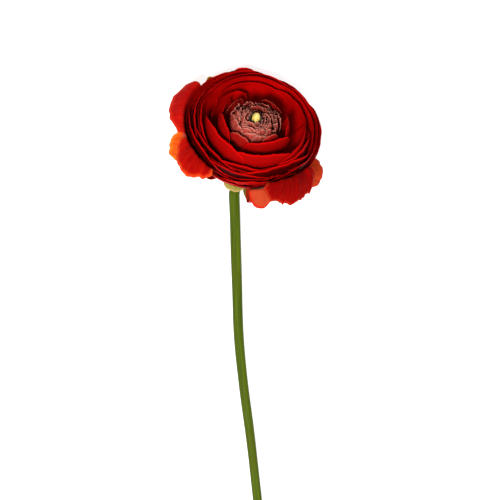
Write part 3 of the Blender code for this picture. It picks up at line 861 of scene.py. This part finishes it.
def build_stamens():
    """Each stamen is a short tube of rings along a line that leans out from the stalk, thin for the
    filament and swollen for the anther; all of them are one mesh."""
    count, around = STAMENS, 8
    draws = np.random.default_rng(61)
    turn = np.radians(GOLDEN_ANGLE * np.arange(count))
    out = STAMEN_REACH + 1.5 * draws.uniform(0, 1, count)
    tip = EGG_MIDDLE + 1.4 * draws.uniform(0, 1, count) - 0.3 * (out - STAMEN_REACH)
    share = np.array([0.0, 0.80, 0.81, 0.84, 0.90, 0.96, 0.995, 1.0])
    wide = np.array([0.11, 0.10, 0.16, 0.30, 0.36, 0.30, 0.14, 0.02])
    low = tip - STAMEN_LENGTH
    centre_r = STAMEN_FOOT + (out[:, None] - STAMEN_FOOT) * share**1.5
    centre_z = low[:, None] + STAMEN_LENGTH * share
    ring = np.linspace(0, 2 * math.pi, around, endpoint=False)
    r = centre_r[..., None] + wide[:, None] * np.cos(ring)
    side = wide[:, None] * np.sin(ring) + 0 * r
    azimuth = turn[:, None, None] + side / np.maximum(r, 0.5)
    points = in_bloom(r, azimuth, centre_z[..., None] + 0 * r)
    faces = []
    block = len(share) * around
    for j in range(count):
        first = j * block
        faces += ring_faces(len(share), around, first)
        faces.append(list(range(first + around - 1, first - 1, -1)))
        faces.append(list(range(first + block - around, first + block)))
    piece = add_mesh("stamens", points.reshape(-1, 3), faces)
    anther = np.broadcast_to((share > 0.805)[None, :, None], r.shape)
    give_attribute(piece, "anther", anther.astype(float))
    return piece


def stamen_material():
    """Yellow green filaments and almost black anthers with a dusting of pollen."""
    material, tree, shader = new_material("stamen_skin")
    anther = node(tree, "ShaderNodeAttribute", attribute_name="anther").outputs["Fac"]
    place = node(tree, "ShaderNodeTexCoord").outputs["Object"]
    dust = noise(tree, place, 2600.0, 2.0, 0.6)
    dark = blend_colours(tree, remap(tree, dust, 0.5, 0.72), (0.012, 0.006, 0.010), (0.16, 0.14, 0.02))
    colour = blend_colours(tree, anther, (0.28, 0.30, 0.03), dark)
    tree.links.new(colour, shader.inputs["Base Color"])
    shader.inputs["Roughness"].default_value = 0.7
    relief(tree, shader, dust, 0.0002, 0.5)
    return material


finish_piece(build_stamens(), stamen_material(), "carpel_yellow")

# ------------------------------------------------------------------------------- table, light, camera
# A plain pale table, wide soft lights over it, and a camera that looks straight down on the flower.

TABLE_EDGE = 6000.0
TABLE_HEIGHT = -0.2
around_table = ((-1, -1), (1, -1), (1, 1), (-1, 1))
corners = [(x * TABLE_EDGE, y * TABLE_EDGE, TABLE_HEIGHT) for x, y in around_table]
table_top = add_mesh("table_top", corners, [[0, 1, 2, 3]])
paint, tree, shader = new_material("table_paint")
shader.inputs["Base Color"].default_value = (0.5, 0.5, 0.5, 1.0)
shader.inputs["Roughness"].default_value = 0.9
shader.inputs["Specular IOR Level"].default_value = 0.2
shader.inputs["Emission Color"].default_value = (1.0, 1.0, 1.0, 1.0)
shader.inputs["Emission Strength"].default_value = 0.75
table_top.data.materials.append(paint)


def soft_light(name, place, aim, size, power):
    """A square area light at a place, turned to face a point."""
    lamp = bpy.data.lights.new(name, "AREA")
    lamp.shape = "SQUARE"
    lamp.size = size
    lamp.energy = power
    holder = bpy.data.objects.new(name, lamp)
    bpy.context.scene.collection.objects.link(holder)
    holder.location = place
    holder.rotation_euler = (Vector(aim) - Vector(place)).to_track_quat("-Z", "Y").to_euler()


soft_light("key_light", place=(-0.22, -0.28, 1.25), aim=(0.0, 0.06, 0.02), size=0.3, power=24.0)
soft_light("fill_light", place=(0.5, -0.7, 0.8), aim=(0.0, 0.0, 0.0), size=0.8, power=6.0)
world = bpy.data.worlds.new("studio")
world.use_nodes = True
sky = world.node_tree.nodes["Background"]
sky.inputs["Color"].default_value = (1.0, 1.0, 1.0, 1.0)
sky.inputs["Strength"].default_value = 0.4
bpy.context.scene.world = world
bpy.context.scene.view_settings.view_transform = "Standard"

CAMERA_HEIGHT = 1.5
FRAME_SIDE = 0.245
SENSOR_WIDTH = 36.0
CAMERA_RIGHT_OF_FOOT = 0.0027
CAMERA_BELOW_FOOT = 0.0449
camera_data = bpy.data.cameras.new("camera")
camera_data.sensor_width = SENSOR_WIDTH
camera_data.lens = SENSOR_WIDTH * CAMERA_HEIGHT / FRAME_SIDE
camera_data.clip_start = 0.01
camera = bpy.data.objects.new("camera", camera_data)
bpy.context.scene.collection.objects.link(camera)
camera.location = (
    FOOT[0] * MM + CAMERA_RIGHT_OF_FOOT, FOOT[1] * MM - CAMERA_BELOW_FOOT, CAMERA_HEIGHT
)
bpy.context.scene.camera = camera
